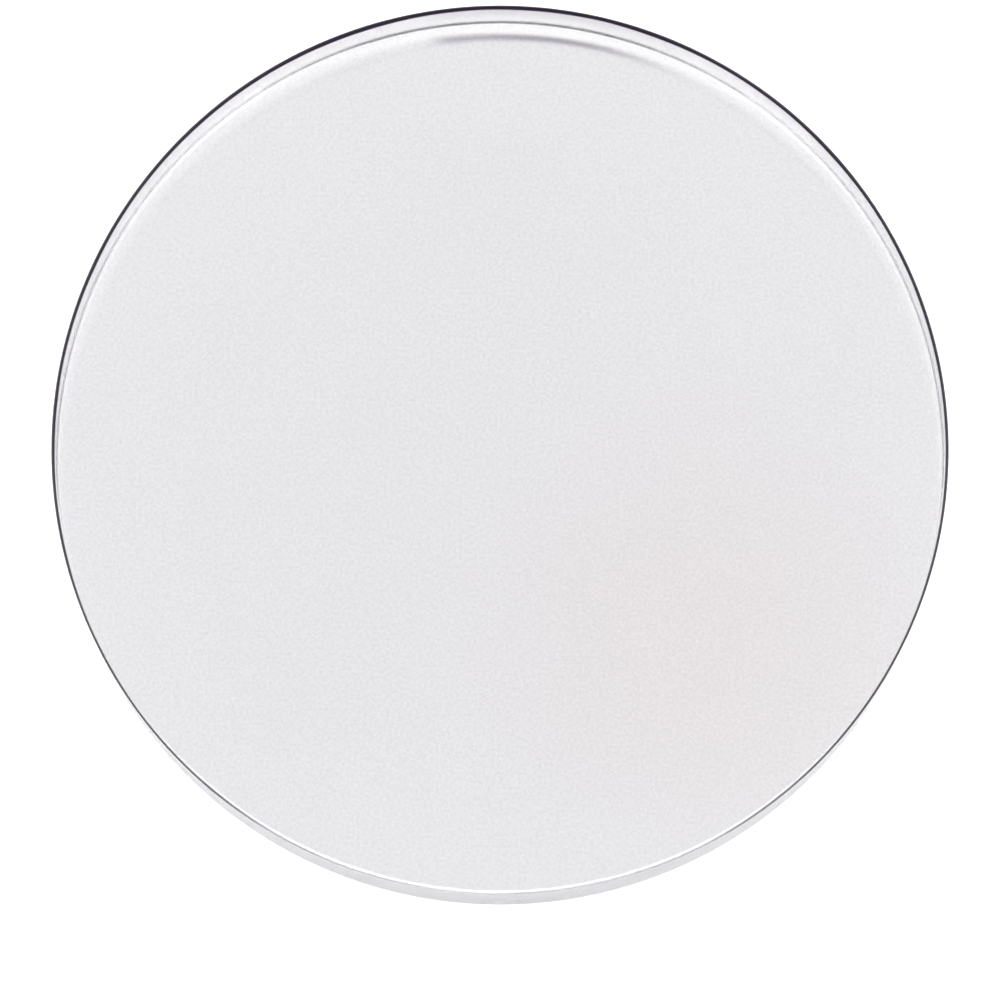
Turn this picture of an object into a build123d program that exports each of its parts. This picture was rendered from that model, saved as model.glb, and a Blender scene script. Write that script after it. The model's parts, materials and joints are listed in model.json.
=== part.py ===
from build123d import *
import os

# Circle template: one solid clear acrylic disc that is drawn round by its rim.
# Millimetres, +Z up. The origin is the centre of the underside, which lies on the work.

os.makedirs("parts", exist_ok=True)

# Driving dimensions
disc_diameter = 38.1      # the circle that the rim guides, 1 1/2 inch
disc_thickness = 6.0      # cast sheet sold as 1/4 inch
upper_rim_radius = 0.2    # rounding that polishing leaves on the upper edge
lower_rim_radius = 0.2    # the same on the edge that meets the work

# Where the rounded edges meet the flat faces and the straight wall
disc_radius = disc_diameter / 2
upper_flat_radius = disc_radius - upper_rim_radius
lower_flat_radius = disc_radius - lower_rim_radius
wall_top = disc_thickness - upper_rim_radius
wall_foot = lower_rim_radius

# The disc is turned from half of its section: underside, lower rounding, straight wall,
# upper rounding and upper face, closed along the axis.
with BuildPart() as disc:
    with BuildSketch(Plane.XZ):
        with BuildLine():
            underside = Line((0, 0), (lower_flat_radius, 0))
            lower_rounding = TangentArc(
                underside @ 1, (disc_radius, wall_foot), tangent=underside % 1
            )
            wall = Line(lower_rounding @ 1, (disc_radius, wall_top))
            upper_rounding = TangentArc(
                wall @ 1, (upper_flat_radius, disc_thickness), tangent=wall % 1
            )
            upper_face = Line(upper_rounding @ 1, (0, disc_thickness))
            Line(upper_face @ 1, underside @ 0)
        make_face()
    revolve(axis=Axis.Z)

disc.part.label = "disc"
export_step(disc.part, "parts/disc.step")
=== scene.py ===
"""Looks for a clear acrylic circle template: one polished disc on a pale studio floor.

The disc is a surface turned round its own axis, with the size that the CAD frame gives.
"""

import json
import math

import bpy
import numpy as np
from bpy.props import FloatProperty, FloatVectorProperty, IntProperty, PointerProperty
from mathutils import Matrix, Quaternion, Vector


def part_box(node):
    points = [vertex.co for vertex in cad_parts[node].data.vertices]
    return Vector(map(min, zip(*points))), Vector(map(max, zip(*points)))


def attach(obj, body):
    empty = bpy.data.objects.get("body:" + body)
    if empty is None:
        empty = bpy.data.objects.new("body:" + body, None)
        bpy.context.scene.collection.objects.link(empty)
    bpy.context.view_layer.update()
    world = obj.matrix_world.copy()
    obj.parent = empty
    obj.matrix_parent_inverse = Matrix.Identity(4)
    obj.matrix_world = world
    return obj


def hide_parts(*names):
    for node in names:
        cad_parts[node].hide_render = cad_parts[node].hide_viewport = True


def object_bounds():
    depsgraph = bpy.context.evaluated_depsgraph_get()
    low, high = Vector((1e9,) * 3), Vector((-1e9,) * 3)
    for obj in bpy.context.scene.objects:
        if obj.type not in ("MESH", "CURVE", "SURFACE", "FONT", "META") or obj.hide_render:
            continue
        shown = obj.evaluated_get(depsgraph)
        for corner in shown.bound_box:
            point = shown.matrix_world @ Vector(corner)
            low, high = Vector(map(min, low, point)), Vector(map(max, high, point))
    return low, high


bl_info = {
    "name": "Circle Template",
    "version": (1, 0, 0),
    "blender": (4, 5, 0),
    "location": "View3D > Sidebar > Circle Template",
    "description": "Builds a clear acrylic circle template and the studio floor it lies on",
    "category": "Add Mesh",
}

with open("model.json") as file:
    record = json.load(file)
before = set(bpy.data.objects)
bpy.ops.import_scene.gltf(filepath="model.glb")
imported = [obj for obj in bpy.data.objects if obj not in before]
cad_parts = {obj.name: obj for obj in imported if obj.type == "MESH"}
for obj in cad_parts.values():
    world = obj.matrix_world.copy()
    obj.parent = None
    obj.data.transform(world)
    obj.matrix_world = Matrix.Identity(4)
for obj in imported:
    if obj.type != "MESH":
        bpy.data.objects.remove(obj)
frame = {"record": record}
cad_low, cad_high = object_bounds()

DISC_NODE = "disc"
BODY = "root"
MILLIMETRE = 0.001

# Patterns of the acrylic and the paper, in bumps or lines a metre
EASING_BUMPS = 150.0
# Bumps of the uneven border where the painted rim shade turns lighter along the near arc
SIDE_SHADE_BUMPS = 260.0
CLOUD_BUMPS = 140.0
MOTTLE_BUMPS = 9000.0
SCUFF_BUMPS = 700.0
TURNING_LINES = 16000.0
PAPER_BUMPS = 8000.0

# Turn of each set of hairlines, in radians, and how many there are a metre
HAIRLINES = ((0.4, 2600.0), (1.7, 3400.0), (2.8, 3000.0))

# Fixed colours: a share that lets all light through, the haze, the depth of thick acrylic, the sky
CLEAR = (1.0, 1.0, 1.0)
HAZE_GREY = (0.5, 0.5, 0.5)
DEPTH_VIOLET = (0.55, 0.5, 0.62)
SKY_BLUE = (0.97, 0.97, 1.0)

# Share of the painted rim shade left on the near arc, where the edge is painted lighter, and how
# dark the hollows of the paper's grain are
NEAR_ARC_SHADE = 0.04
PAPER_GRAIN_SHADE = 0.895

# Camera: sensor width in millimetres, share of the picture that the disc takes across, and how
# far below the middle of the disc the camera aims, as a share of the picture
SENSOR_WIDTH = 36.0
SHARE_OF_WIDTH = 0.899
AIM_BELOW = 0.0545


def rim_wall_length():
    """Length of the straight wall between the two roundings, in metres, from the rim mount."""
    rim = next(m for m in frame["record"]["mounts"] if m["name"] == "rim")
    return rim["dims"]["length_mm"] * MILLIMETRE


node_low, node_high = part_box(DISC_NODE)
DISC_RADIUS = (node_high.x - node_low.x) / 2
DISC_THICKNESS = node_high.z - node_low.z
RIM_ROUNDING = (DISC_THICKNESS - rim_wall_length()) / 2


# ---------------------------------------------------------------------------------------
# Settings
# ---------------------------------------------------------------------------------------


class CircleTemplateDisc(bpy.types.PropertyGroup):
    """Shape of the turned disc."""

    radius: FloatProperty(
        name="Radius",
        description="Radius of the circle that the rim guides",
        default=DISC_RADIUS,
        min=0.001,
        subtype="DISTANCE",
        unit="LENGTH",
        precision=5,
    )
    thickness: FloatProperty(
        name="Thickness",
        description="Thickness of the cast sheet",
        default=DISC_THICKNESS,
        min=0.0005,
        subtype="DISTANCE",
        unit="LENGTH",
        precision=5,
    )
    rounding: FloatProperty(
        name="Rim rounding",
        description="Radius that polishing leaves on the upper and lower edges",
        default=RIM_ROUNDING,
        min=0.00001,
        subtype="DISTANCE",
        unit="LENGTH",
        precision=5,
    )
    waviness: FloatProperty(
        name="Wall waviness",
        description="How far the hand-polished wall dips below a true circle",
        default=0.0000015,
        min=0.0,
        subtype="DISTANCE",
        unit="LENGTH",
        precision=7,
    )
    segments: IntProperty(
        name="Segments",
        description="Steps round the axis",
        default=1024,
        min=64,
    )
    rounding_steps: IntProperty(
        name="Rounding steps",
        description="Steps along each rounding of the section",
        default=12,
        min=2,
    )
    flat_steps: IntProperty(
        name="Face steps",
        description="Rings on each flat face, from the axis to the rounding",
        default=6,
        min=2,
    )
    wall_steps: IntProperty(
        name="Wall steps",
        description="Steps up the straight wall",
        default=8,
        min=1,
    )


class CircleTemplateAcrylic(bpy.types.PropertyGroup):
    """Colours and finish of the acrylic."""

    clear_tint: FloatVectorProperty(
        name="Clear tint",
        description="Colour that the polished acrylic lets through",
        default=(0.725, 0.722, 0.723),
        min=0.0,
        max=1.0,
        subtype="COLOR",
    )
    warm_tint: FloatVectorProperty(
        name="Warm cast",
        description="Faint warm cast of some areas of the sheet",
        default=(0.73, 0.691, 0.68),
        min=0.0,
        max=1.0,
        subtype="COLOR",
    )
    # Painted shade: near-black violet painted as a band round the eased upper edge
    rim_shade_tint: FloatVectorProperty(
        name="Rim shade tint",
        description="Near-black violet painted on the eased upper edge as a band of shade",
        default=(0.008, 0.003, 0.014),
        min=0.0,
        max=1.0,
        subtype="COLOR",
    )
    # Painted shade: violet grey painted on the wall, which darkens the band along the outline
    wall_shade_tint: FloatVectorProperty(
        name="Wall shade tint",
        description="Violet grey painted on the wall as shade; the wall also has a fine satin",
        default=(0.58, 0.56, 0.61),
        min=0.0,
        max=1.0,
        subtype="COLOR",
    )
    # Painted light: a lighter violet painted on the upper edge along the near arc instead of the
    # dark band
    near_arc_tint: FloatVectorProperty(
        name="Near arc painted tint",
        description="Lighter violet painted on the upper edge along the near arc, in place of the dark band",
        default=(0.22, 0.15, 0.36),
        min=0.0,
        max=1.0,
        subtype="COLOR",
    )
    face_shade: FloatVectorProperty(
        name="Face shade",
        description="Share of a lamp's light that gets through the upper face",
        default=(0.785, 0.782, 0.792),
        min=0.0,
        max=1.0,
        subtype="COLOR",
    )
    edge_shade: FloatVectorProperty(
        name="Edge shade",
        description="Share of a lamp's light that gets through the upper edge along the far arc",
        default=(0.2, 0.17, 0.23),
        min=0.0,
        max=1.0,
        subtype="COLOR",
    )
    index: FloatProperty(
        name="Index of refraction",
        description="Index of refraction of cast acrylic",
        default=1.49,
        min=1.0,
        max=2.0,
    )
    absorption: FloatProperty(
        name="Absorption",
        description="Density of the colour that thick acrylic takes on, per metre",
        default=2.0,
        min=0.0,
    )


class CircleTemplateStage(bpy.types.PropertyGroup):
    """Floor, lamps and camera."""

    floor_colour: FloatVectorProperty(
        name="Floor colour",
        description="Colour of the paper that the disc lies on",
        default=(0.9, 0.9, 0.9),
        min=0.0,
        max=1.0,
        subtype="COLOR",
    )
    floor_half_width: FloatProperty(
        name="Floor half width",
        description="Half the side of the square floor",
        default=1.5,
        min=0.1,
        subtype="DISTANCE",
        unit="LENGTH",
    )
    key_power: FloatProperty(
        name="Key power",
        description="Power of the lamp almost overhead",
        default=12.4,
        min=0.0,
        subtype="POWER",
        unit="POWER",
    )
    front_power: FloatProperty(
        name="Front power",
        description="Power of the broad softbox on the near side that glints on the near edge",
        default=45.0,
        min=0.0,
        subtype="POWER",
        unit="POWER",
    )
    sky_strength: FloatProperty(
        name="Sky strength",
        description="Brightness of the soft light from all round",
        default=0.42,
        min=0.0,
    )
    side_strength: FloatProperty(
        name="Side strength",
        description="Brightness of the low panels to the left and right",
        default=1.5,
        min=0.0,
    )
    tilt: FloatProperty(
        name="Camera tilt",
        description="How far the camera leans from straight above towards the near side",
        default=math.radians(7.4),
        subtype="ANGLE",
        unit="ROTATION",
    )
    distance: FloatProperty(
        name="Camera distance",
        description="Distance from the camera to the disc",
        default=0.312,
        min=0.05,
        subtype="DISTANCE",
        unit="LENGTH",
    )


# ---------------------------------------------------------------------------------------
# Surface
# ---------------------------------------------------------------------------------------


def disc_section(s):
    """Half section of the disc from the axis along the underside, up the rim and back to the axis.

    Returns radius, height and the outward direction (radial, up) of each point. A rounding of
    radius q centred at radius R - q and height h has its points at the angle a from the radial
    direction: radius R - q + q cos a, height h + q sin a, and (cos a, sin a) points outwards.
    """
    q = s.rounding
    inner = np.linspace(0.0, s.radius - q, s.flat_steps + 1)
    low_angle = np.linspace(-math.pi / 2, 0.0, s.rounding_steps + 1)[1:]
    wall = np.linspace(q, s.thickness - q, s.wall_steps + 1)[1:]
    high_angle = np.linspace(0.0, math.pi / 2, s.rounding_steps + 1)[1:]
    radius = np.concatenate(
        [
            inner,
            s.radius - q + q * np.cos(low_angle),
            np.full(wall.size, s.radius),
            s.radius - q + q * np.cos(high_angle),
            inner[-2::-1],
        ]
    )
    height = np.concatenate(
        [
            np.zeros(inner.size),
            q + q * np.sin(low_angle),
            wall,
            s.thickness - q + q * np.sin(high_angle),
            np.full(inner.size - 1, s.thickness),
        ]
    )
    angle = np.concatenate(
        [
            np.full(inner.size, -math.pi / 2),
            low_angle,
            np.zeros(wall.size),
            high_angle,
            np.full(inner.size - 1, math.pi / 2),
        ]
    )
    return radius, height, np.cos(angle), np.sin(angle)


def polish_waves(turn):
    """Unevenness of a hand-polished wall round the disc, from 0 to 1: a sum of five sine waves
    of whole numbers of periods, each weaker than the last, brought into that range."""
    periods = np.array([5, 11, 17, 29, 43])
    offsets = np.array([0.3, 1.9, 4.1, 2.6, 5.2])
    weights = 1.0 / np.arange(1, 6)
    waves = np.sin(turn[:, None] * periods + offsets) * weights
    return 0.5 + 0.5 * waves.sum(1) / weights.sum()


def turned_surface(section, s):
    """The section turned once round the axis: a point at the turn u and the section's step v is
    (r(v) cos u, r(v) sin u, z(v)), with the wall drawn in by the polish waves. The first and
    last steps are single points on the axis. Returns points, normals and faces."""
    radius, height, outward, upward = section
    turn = np.linspace(0.0, 2 * math.pi, s.segments, endpoint=False)
    ring_radius = radius[1:-1, None]
    dip = s.waviness * polish_waves(turn)[None, :] * outward[1:-1, None]
    r = ring_radius - dip
    rings = r.shape[0]
    cos_turn, sin_turn = np.cos(turn)[None, :], np.sin(turn)[None, :]
    z = np.broadcast_to(height[1:-1, None], r.shape)
    grid = np.stack([r * cos_turn, r * sin_turn, z], axis=-1).reshape(-1, 3)
    out = np.broadcast_to(outward[1:-1, None], r.shape)
    up = np.broadcast_to(upward[1:-1, None], r.shape)
    grid_normals = np.stack([out * cos_turn, out * sin_turn, up], axis=-1).reshape(-1, 3)
    points = np.vstack([grid, [[0, 0, height[0]], [0, 0, height[-1]]]])
    normals = np.vstack([grid_normals, [[0, 0, -1], [0, 0, 1]]])

    here = np.arange(s.segments)
    after = (here + 1) % s.segments
    row = np.arange(rings - 1)[:, None] * s.segments
    quads = np.stack(
        [row + here, row + after, row + s.segments + after, row + s.segments + here], axis=-1
    ).reshape(-1, 4)
    low_pole = rings * s.segments
    high_pole = low_pole + 1
    last = (rings - 1) * s.segments
    low_fan = np.stack([after, here, np.full_like(here, low_pole)], axis=-1)
    high_fan = np.stack([last + here, last + after, np.full_like(here, high_pole)], axis=-1)
    faces = quads.tolist() + low_fan.tolist() + high_fan.tolist()
    return points, normals, faces


def mesh_object(name, points, normals, faces):
    """A smooth-shaded object at the origin with these points, normals and faces."""
    mesh = bpy.data.meshes.new(name)
    mesh.from_pydata(points.tolist(), [], faces)
    mesh.shade_smooth()
    mesh.normals_split_custom_set_from_vertices(normals.tolist())
    mesh.update()
    mesh.validate(clean_customdata=False)
    piece = bpy.data.objects.new(name, mesh)
    bpy.context.scene.collection.objects.link(piece)
    return piece


# ---------------------------------------------------------------------------------------
# Materials
# ---------------------------------------------------------------------------------------


class Nodes:
    """Short calls for building one node tree, of a material or of the world."""

    def __init__(self, tree):
        self.tree = tree
        tree.nodes.clear()

    def new(self, kind, **settings):
        """A new node of this kind, with these settings."""
        node = self.tree.nodes.new(kind)
        for key, value in settings.items():
            setattr(node, key, value)
        return node

    def put(self, socket, value):
        """Links an output to the socket, or sets the socket's own value."""
        if isinstance(value, bpy.types.NodeSocket):
            self.tree.links.new(value, socket)
        elif hasattr(value, "__len__") and len(socket.default_value) == 4 and len(value) == 3:
            socket.default_value = (*value, 1.0)
        else:
            socket.default_value = value

    def split(self, vector):
        """The x, y and z of a vector."""
        parts = self.new("ShaderNodeSeparateXYZ")
        self.put(parts.inputs[0], vector)
        return parts.outputs

    def maths(self, operation, *values):
        """One operation on one, two or three values."""
        node = self.new("ShaderNodeMath", operation=operation)
        for socket, value in zip(node.inputs, values):
            self.put(socket, value)
        return node.outputs[0]

    def product(self, first, second):
        """The two values multiplied."""
        return self.maths("MULTIPLY", first, second)

    def level(self, x, y):
        """Length of the level part of a vector: the root of x squared plus y squared."""
        return self.maths("SQRT", self.maths("ADD", self.product(x, x), self.product(y, y)))

    def ramp(self, value, start, end, low=0.0, high=1.0):
        """low before start, high after end, and a smooth change between them."""
        node = self.new("ShaderNodeMapRange", interpolation_type="SMOOTHSTEP")
        self.put(node.inputs["Value"], value)
        self.put(node.inputs["From Min"], start)
        self.put(node.inputs["From Max"], end)
        self.put(node.inputs["To Min"], low)
        self.put(node.inputs["To Max"], high)
        return node.outputs["Result"]

    def mix(self, factor, first, second):
        """The first colour where the factor is 0 and the second where it is 1."""
        node = self.new("ShaderNodeMix", data_type="RGBA")
        colours = [socket for socket in node.inputs if socket.type == "RGBA"]
        self.put(node.inputs["Factor"], factor)
        self.put(colours[0], first)
        self.put(colours[1], second)
        return next(socket for socket in node.outputs if socket.type == "RGBA")

    def noise(self, vector, scale, detail=2.0):
        """Smooth noise of about this many bumps a metre, with this many finer layers."""
        node = self.new("ShaderNodeTexNoise")
        self.put(node.inputs["Vector"], vector)
        self.put(node.inputs["Scale"], scale)
        self.put(node.inputs["Detail"], detail)
        return node.outputs["Fac"]

    def stretched(self, vector, turn, scale):
        """The coordinates turned about the axis and scaled along each direction."""
        node = self.new("ShaderNodeMapping")
        self.put(node.inputs["Vector"], vector)
        node.inputs["Rotation"].default_value = (0.0, 0.0, turn)
        node.inputs["Scale"].default_value = scale
        return node.outputs["Vector"]


def new_material(name):
    """An empty material and the calls that build its nodes."""
    material = bpy.data.materials.new(name)
    material.use_nodes = True
    return material, Nodes(material.node_tree)


class DiscPlaces:
    """Where a point of the disc lies: its coordinates, its distance from the axis, and zones
    that are 0 or 1 with a soft border. Borders stand at parts of the rounding radius q."""

    def __init__(self, n, disc):
        radius, top, q = disc.radius, disc.thickness, disc.rounding
        self.point = n.new("ShaderNodeTexCoord").outputs["Object"]
        self.x, self.y, self.z = n.split(self.point)
        self.from_axis = n.level(self.x, self.y)

        # The rim zone reaches further in on the far side than on the near side, which widens the
        # band of painted shade there; the turned rounding itself has no such offset
        wander = n.maths("MULTIPLY_ADD", n.noise(self.point, EASING_BUMPS), 0.5 * q, -0.25 * q)
        off_centre = n.maths("MULTIPLY_ADD", self.y, 0.45 * q / radius, wander)
        inward = n.maths("ADD", self.from_axis, off_centre)
        self.rim = n.ramp(inward, radius - 0.9 * q, radius - 0.6 * q)

        self.wall = n.ramp(self.from_axis, radius - 0.05 * q, radius - 0.02 * q)
        self.upper_edge = n.product(self.rim, n.ramp(self.z, top - 1.8 * q, top - 1.2 * q))
        self.upper_rounding = n.product(self.rim, n.ramp(self.z, top - 1.3 * q, top - q))
        self.lower_edge = n.product(self.rim, n.ramp(self.z, 0.9 * q, 1.2 * q, 1.0, 0.0))
        self.upper_face = n.ramp(self.z, top - 0.5 * q, top - 0.1 * q)


def shade_by_side(n, places, disc):
    """How much painted shade the eased edge gets at each turn: full on the far and side arcs,
    painted lighter along the near arc, with an uneven border.
    """
    uneven = n.noise(places.point, SIDE_SHADE_BUMPS)
    along = n.maths("MULTIPLY_ADD", uneven, 0.2 * disc.radius, places.y)
    return n.ramp(along, -1.1 * disc.radius, -0.62 * disc.radius, NEAR_ARC_SHADE, 1.0)


def acrylic_colour(n, places, far_side_shade, painted_rim_mask, look, disc):
    """A slow drift of the sheet's cast, a fine mottle of haze, a wall tinted violet grey as painted
    shade, and a near-black band of painted shade on the eased edge, painted lighter along the near
    arc.
    """
    cloud = n.noise(places.point, CLOUD_BUMPS, 3.0)
    from_patch = n.new("ShaderNodeVectorMath", operation="DISTANCE")
    n.put(from_patch.inputs[0], places.point)
    from_patch.inputs[1].default_value = (0.45 * disc.radius, -0.4 * disc.radius, disc.thickness)
    spread = n.maths("MULTIPLY_ADD", cloud, 0.5 * disc.radius, from_patch.outputs["Value"])
    warm = n.ramp(spread, 0.3 * disc.radius, 0.95 * disc.radius, 1.0, 0.0)
    sheet = n.mix(warm, look.clear_tint, look.warm_tint)

    mottle = n.ramp(n.noise(places.point, MOTTLE_BUMPS), 0.3, 0.7, 0.0, 0.1)
    haze = n.maths("MULTIPLY_ADD", cloud, 0.14, mottle)
    hazed = n.mix(haze, sheet, HAZE_GREY)
    # Painted shade: the wall is tinted violet grey
    sides = n.mix(places.wall, hazed, look.wall_shade_tint)
    # Painted shade on the eased upper edge: near-black on the far and side arcs, painted lighter
    # along the near arc
    edge = n.mix(far_side_shade, look.near_arc_tint, look.rim_shade_tint)
    return n.mix(painted_rim_mask, sides, edge)


def acrylic_finish(n, places, painted_rim_mask, disc):
    """Roughness and bump: hairlines on the faces, turning lines on a satin wall, a scuffed lower
    edge except along the far arc, and a dull upper edge under the painted rim shade."""
    lines = []
    for turn, across in HAIRLINES:
        streaks = n.noise(n.stretched(places.point, turn, (60.0, across, 60.0)), 1.0, 1.0)
        lines.append(n.ramp(streaks, 0.72, 0.78))
    hairlines = n.maths("MAXIMUM", n.maths("MAXIMUM", lines[0], lines[1]), lines[2])
    turning = n.noise(n.stretched(places.point, 0.0, (40.0, 40.0, TURNING_LINES)), 1.0)

    polish = n.maths("MULTIPLY_ADD", hairlines, 0.06, 0.006)
    satin = n.product(places.wall, n.maths("MULTIPLY_ADD", turning, 0.06, 0.18))
    scratches = n.noise(places.point, SCUFF_BUMPS, 3.0)
    along = n.maths("MULTIPLY_ADD", scratches, 0.16 * disc.radius, places.y)
    scuffed = n.ramp(along, 0.86 * disc.radius, 1.02 * disc.radius, 0.35, 0.0)
    dulled = n.product(places.lower_edge, scuffed)
    worked = n.maths("ADD", n.maths("MAXIMUM", satin, dulled), polish)
    roughness = n.maths("MAXIMUM", worked, n.product(painted_rim_mask, 0.3))

    wall_lines = n.product(turning, places.rim)
    bump = n.new("ShaderNodeBump")
    bump.inputs["Strength"].default_value = 0.05
    bump.inputs["Distance"].default_value = 0.01 * MILLIMETRE
    relief = n.maths("MULTIPLY_ADD", wall_lines, 0.15, n.product(hairlines, -0.2))
    n.put(bump.inputs["Height"], relief)
    return roughness, bump.outputs["Normal"]


def lamp_light_share(n, places, look, disc):
    """Share of a lamp's light that passes: all of it at the wall, less through the face, and
    least through the upper rounding along the far arc."""
    dimmed = n.mix(places.upper_face, CLEAR, look.face_shade)
    arc_start = n.ramp(places.x, -0.17 * disc.radius, -0.12 * disc.radius, 0.1, 1.0)
    arc_end = n.ramp(places.x, 0.15 * disc.radius, 0.45 * disc.radius, 1.0, 0.1)
    far_half = n.ramp(places.y, 0.0, 0.5 * disc.radius)
    far_arc = n.product(far_half, n.product(arc_start, arc_end))
    return n.mix(n.product(places.upper_rounding, far_arc), dimmed, look.edge_shade)


def acrylic_material(look, disc):
    """Polished cast acrylic: clear faces with a faint haze and hairlines, fine turning lines on
    the wall, and painted shade on the eased upper edge, lighter on the near arc. Lamps reach the
    floor straight through it."""
    material, n = new_material("clear_acrylic")
    places = DiscPlaces(n, disc)
    far_side_shade = shade_by_side(n, places, disc)
    # Where the rim shade is painted: the upper edge zone, less of it along the near arc
    painted_rim_mask = n.product(places.upper_edge, far_side_shade)
    roughness, normal = acrylic_finish(n, places, painted_rim_mask, disc)

    glass = n.new("ShaderNodeBsdfPrincipled")
    n.put(glass.inputs["Base Color"], acrylic_colour(n, places, far_side_shade, painted_rim_mask, look, disc))
    n.put(glass.inputs["Roughness"], roughness)
    n.put(glass.inputs["Normal"], normal)
    # Where the rim shade is painted, the acrylic stops letting light through
    n.put(glass.inputs["Transmission Weight"], n.maths("SUBTRACT", 1.0, painted_rim_mask))
    glass.inputs["IOR"].default_value = look.index

    passing = n.new("ShaderNodeBsdfTransparent")
    n.put(passing.inputs["Color"], lamp_light_share(n, places, look, disc))
    path = n.new("ShaderNodeLightPath")
    lamp_ray = n.maths("MAXIMUM", path.outputs["Is Shadow Ray"], path.outputs["Is Diffuse Ray"])
    either = n.new("ShaderNodeMixShader")
    n.put(either.inputs["Fac"], lamp_ray)
    n.put(either.inputs[1], glass.outputs[0])
    n.put(either.inputs[2], passing.outputs[0])

    depth = n.new("ShaderNodeVolumeAbsorption")
    n.put(depth.inputs["Color"], DEPTH_VIOLET)
    depth.inputs["Density"].default_value = look.absorption
    output = n.new("ShaderNodeOutputMaterial")
    n.put(output.inputs["Surface"], either.outputs[0])
    n.put(output.inputs["Volume"], depth.outputs[0])
    return material


def paper_material(stage):
    """Matt pale paper with a barely visible grain."""
    material, n = new_material("studio_paper")
    place = n.new("ShaderNodeTexCoord").outputs["Object"]
    grain = n.ramp(n.noise(place, PAPER_BUMPS), 0.3, 0.7)
    darker = tuple(PAPER_GRAIN_SHADE * c for c in stage.floor_colour)
    surface = n.new("ShaderNodeBsdfPrincipled")
    n.put(surface.inputs["Base Color"], n.mix(grain, stage.floor_colour, darker))
    surface.inputs["Roughness"].default_value = 0.9
    surface.inputs["Specular IOR Level"].default_value = 0.0
    output = n.new("ShaderNodeOutputMaterial")
    n.put(output.inputs["Surface"], surface.outputs[0])
    return material


# ---------------------------------------------------------------------------------------
# Stage
# ---------------------------------------------------------------------------------------


def direction(azimuth, elevation):
    """Unit vector at an azimuth from +X towards +Y and an elevation above the floor, in degrees."""
    a, e = math.radians(azimuth), math.radians(elevation)
    return Vector((math.cos(a) * math.cos(e), math.sin(a) * math.cos(e), math.sin(e)))


def floor_object(stage):
    """A square floor a hair below the disc."""
    half = stage.floor_half_width
    level = cad_low.z - 0.01 * MILLIMETRE
    corners = [
        (-half, -half, level),
        (half, -half, level),
        (half, half, level),
        (-half, half, level),
    ]
    mesh = bpy.data.meshes.new("floor")
    mesh.from_pydata(corners, [], [(0, 1, 2, 3)])
    floor = bpy.data.objects.new("floor", mesh)
    bpy.context.scene.collection.objects.link(floor)
    mesh.materials.append(paper_material(stage))


def lamp(name, azimuth, elevation, width, height, power, turn, glints, lights_floor):
    """A rectangular lamp a metre away that faces the origin, turned in its own plane."""
    data = bpy.data.lights.new(name, "AREA")
    data.shape = "RECTANGLE"
    data.size = width
    data.size_y = height
    data.energy = power
    lamp_object = bpy.data.objects.new(name, data)
    away = direction(azimuth, elevation)
    lamp_object.location = away
    lamp_object.rotation_mode = "QUATERNION"
    in_plane = Quaternion((0.0, 0.0, 1.0), math.radians(turn))
    lamp_object.rotation_quaternion = away.to_track_quat("Z", "Y") @ in_plane
    lamp_object.visible_camera = False
    lamp_object.visible_glossy = glints
    lamp_object.visible_transmission = False
    lamp_object.visible_diffuse = lights_floor
    bpy.context.scene.collection.objects.link(lamp_object)


def sky(stage):
    """A dome that is bright overhead, pale at both sides and dark at the near and far horizon."""
    world = bpy.data.worlds.new("studio")
    world.use_nodes = True
    n = Nodes(world.node_tree)
    x, y, z = n.split(n.new("ShaderNodeTexCoord").outputs["Generated"])
    sideways = n.maths("DIVIDE", n.maths("ABSOLUTE", x), n.level(x, y))
    low_panels = n.ramp(z, 0.35, 0.6, stage.side_strength, 0.0)
    sides = n.product(n.ramp(sideways, 0.25, 0.45, 0.01, 1.0), low_panels)
    overhead = n.ramp(z, 0.05, 0.9, 0.0, stage.sky_strength)
    background = n.new("ShaderNodeBackground")
    n.put(background.inputs["Color"], SKY_BLUE)
    n.put(background.inputs["Strength"], n.maths("MAXIMUM", sides, overhead))
    output = n.new("ShaderNodeOutputWorld")
    n.put(output.inputs["Surface"], background.outputs[0])
    bpy.context.scene.world = world


def camera(stage, disc):
    """Camera that looks down on the disc, leaning a little towards the near side."""
    data = bpy.data.cameras.new("camera")
    data.sensor_width = SENSOR_WIDTH
    data.lens = SHARE_OF_WIDTH * SENSOR_WIDTH * stage.distance / (2 * disc.radius)
    data.clip_start = 0.01
    data.clip_end = 10.0
    view = bpy.data.objects.new("camera", data)
    back = Vector((0.0, -math.sin(stage.tilt), math.cos(stage.tilt)))
    picture_width = 2 * disc.radius / SHARE_OF_WIDTH
    aim = Vector((0.0, -AIM_BELOW * picture_width, disc.thickness))
    view.location = aim + back * stage.distance
    view.rotation_mode = "QUATERNION"
    view.rotation_quaternion = back.to_track_quat("Z", "Y")
    bpy.context.scene.collection.objects.link(view)
    bpy.context.scene.camera = view


# ---------------------------------------------------------------------------------------
# Operators
# ---------------------------------------------------------------------------------------


class CIRCLETEMPLATE_OT_disc(bpy.types.Operator):
    """Build the polished disc in place of the plain CAD one"""

    bl_idname = "circle_template.disc"
    bl_label = "Disc"

    def execute(self, context):
        disc = context.scene.circle_template_disc
        look = context.scene.circle_template_acrylic
        points, normals, faces = turned_surface(disc_section(disc), disc)
        piece = mesh_object("clear_disc", points, normals, faces)
        piece.data.materials.append(acrylic_material(look, disc))
        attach(piece, BODY)
        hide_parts(DISC_NODE)
        return {"FINISHED"}


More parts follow.
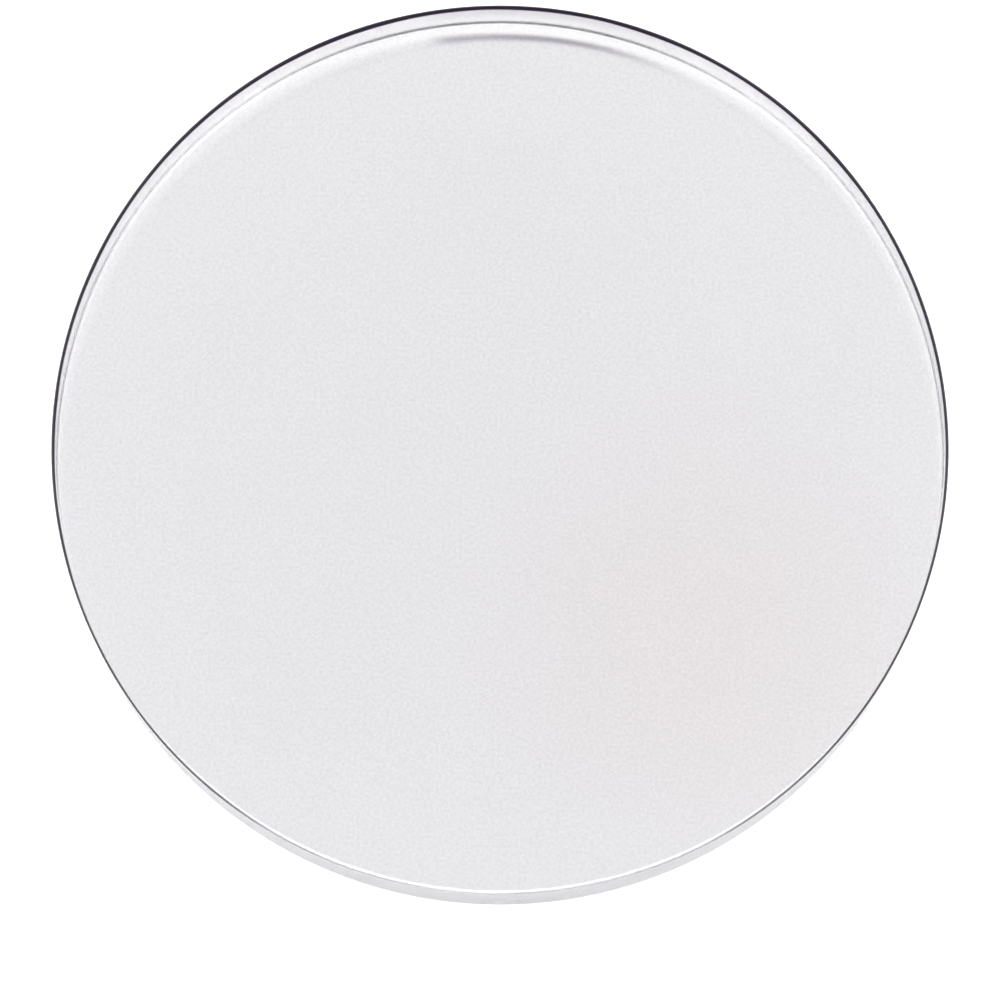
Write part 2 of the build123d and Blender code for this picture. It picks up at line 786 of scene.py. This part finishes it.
class CIRCLETEMPLATE_OT_stage(bpy.types.Operator):
    """Lay the floor and set the lamps, the sky and the camera"""

    bl_idname = "circle_template.stage"
    bl_label = "Stage"

    def execute(self, context):
        stage = context.scene.circle_template_stage
        floor_object(stage)
        lamp(
            "key",
            azimuth=92.0,
            elevation=84.0,
            width=0.18,
            height=0.03,
            power=stage.key_power,
            turn=-10.0,
            glints=False,
            lights_floor=True,
        )
        lamp(
            "front",
            azimuth=-90.0,
            elevation=42.0,
            width=1.3,
            height=1.3,
            power=stage.front_power,
            turn=0.0,
            glints=True,
            lights_floor=False,
        )
        sky(stage)
        camera(stage, context.scene.circle_template_disc)
        context.scene.view_settings.view_transform = "Standard"
        return {"FINISHED"}


class CIRCLETEMPLATE_PT_panel(bpy.types.Panel):
    """Circle template tools"""

    bl_label = "Circle Template"
    bl_idname = "CIRCLETEMPLATE_PT_panel"
    bl_space_type = "VIEW_3D"
    bl_region_type = "UI"
    bl_category = "Circle Template"

    def draw(self, context):
        for group, operator in (
            (context.scene.circle_template_disc, CIRCLETEMPLATE_OT_disc),
            (context.scene.circle_template_acrylic, None),
            (context.scene.circle_template_stage, CIRCLETEMPLATE_OT_stage),
        ):
            box = self.layout.box()
            for name in group.__annotations__:
                box.prop(group, name)
            if operator:
                box.operator(operator.bl_idname)


CLASSES = (
    CircleTemplateDisc,
    CircleTemplateAcrylic,
    CircleTemplateStage,
    CIRCLETEMPLATE_OT_disc,
    CIRCLETEMPLATE_OT_stage,
    CIRCLETEMPLATE_PT_panel,
)


def register():
    """Registers the classes and hangs the settings on the scene."""
    for cls in CLASSES:
        bpy.utils.register_class(cls)
    bpy.types.Scene.circle_template_disc = PointerProperty(type=CircleTemplateDisc)
    bpy.types.Scene.circle_template_acrylic = PointerProperty(type=CircleTemplateAcrylic)
    bpy.types.Scene.circle_template_stage = PointerProperty(type=CircleTemplateStage)


def unregister():
    """Takes away what register adds."""
    del bpy.types.Scene.circle_template_stage
    del bpy.types.Scene.circle_template_acrylic
    del bpy.types.Scene.circle_template_disc
    for cls in reversed(CLASSES):
        bpy.utils.unregister_class(cls)


def main():
    """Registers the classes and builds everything."""
    register()
    bpy.ops.circle_template.disc()
    bpy.ops.circle_template.stage()


if __name__ == "__main__":
    main()
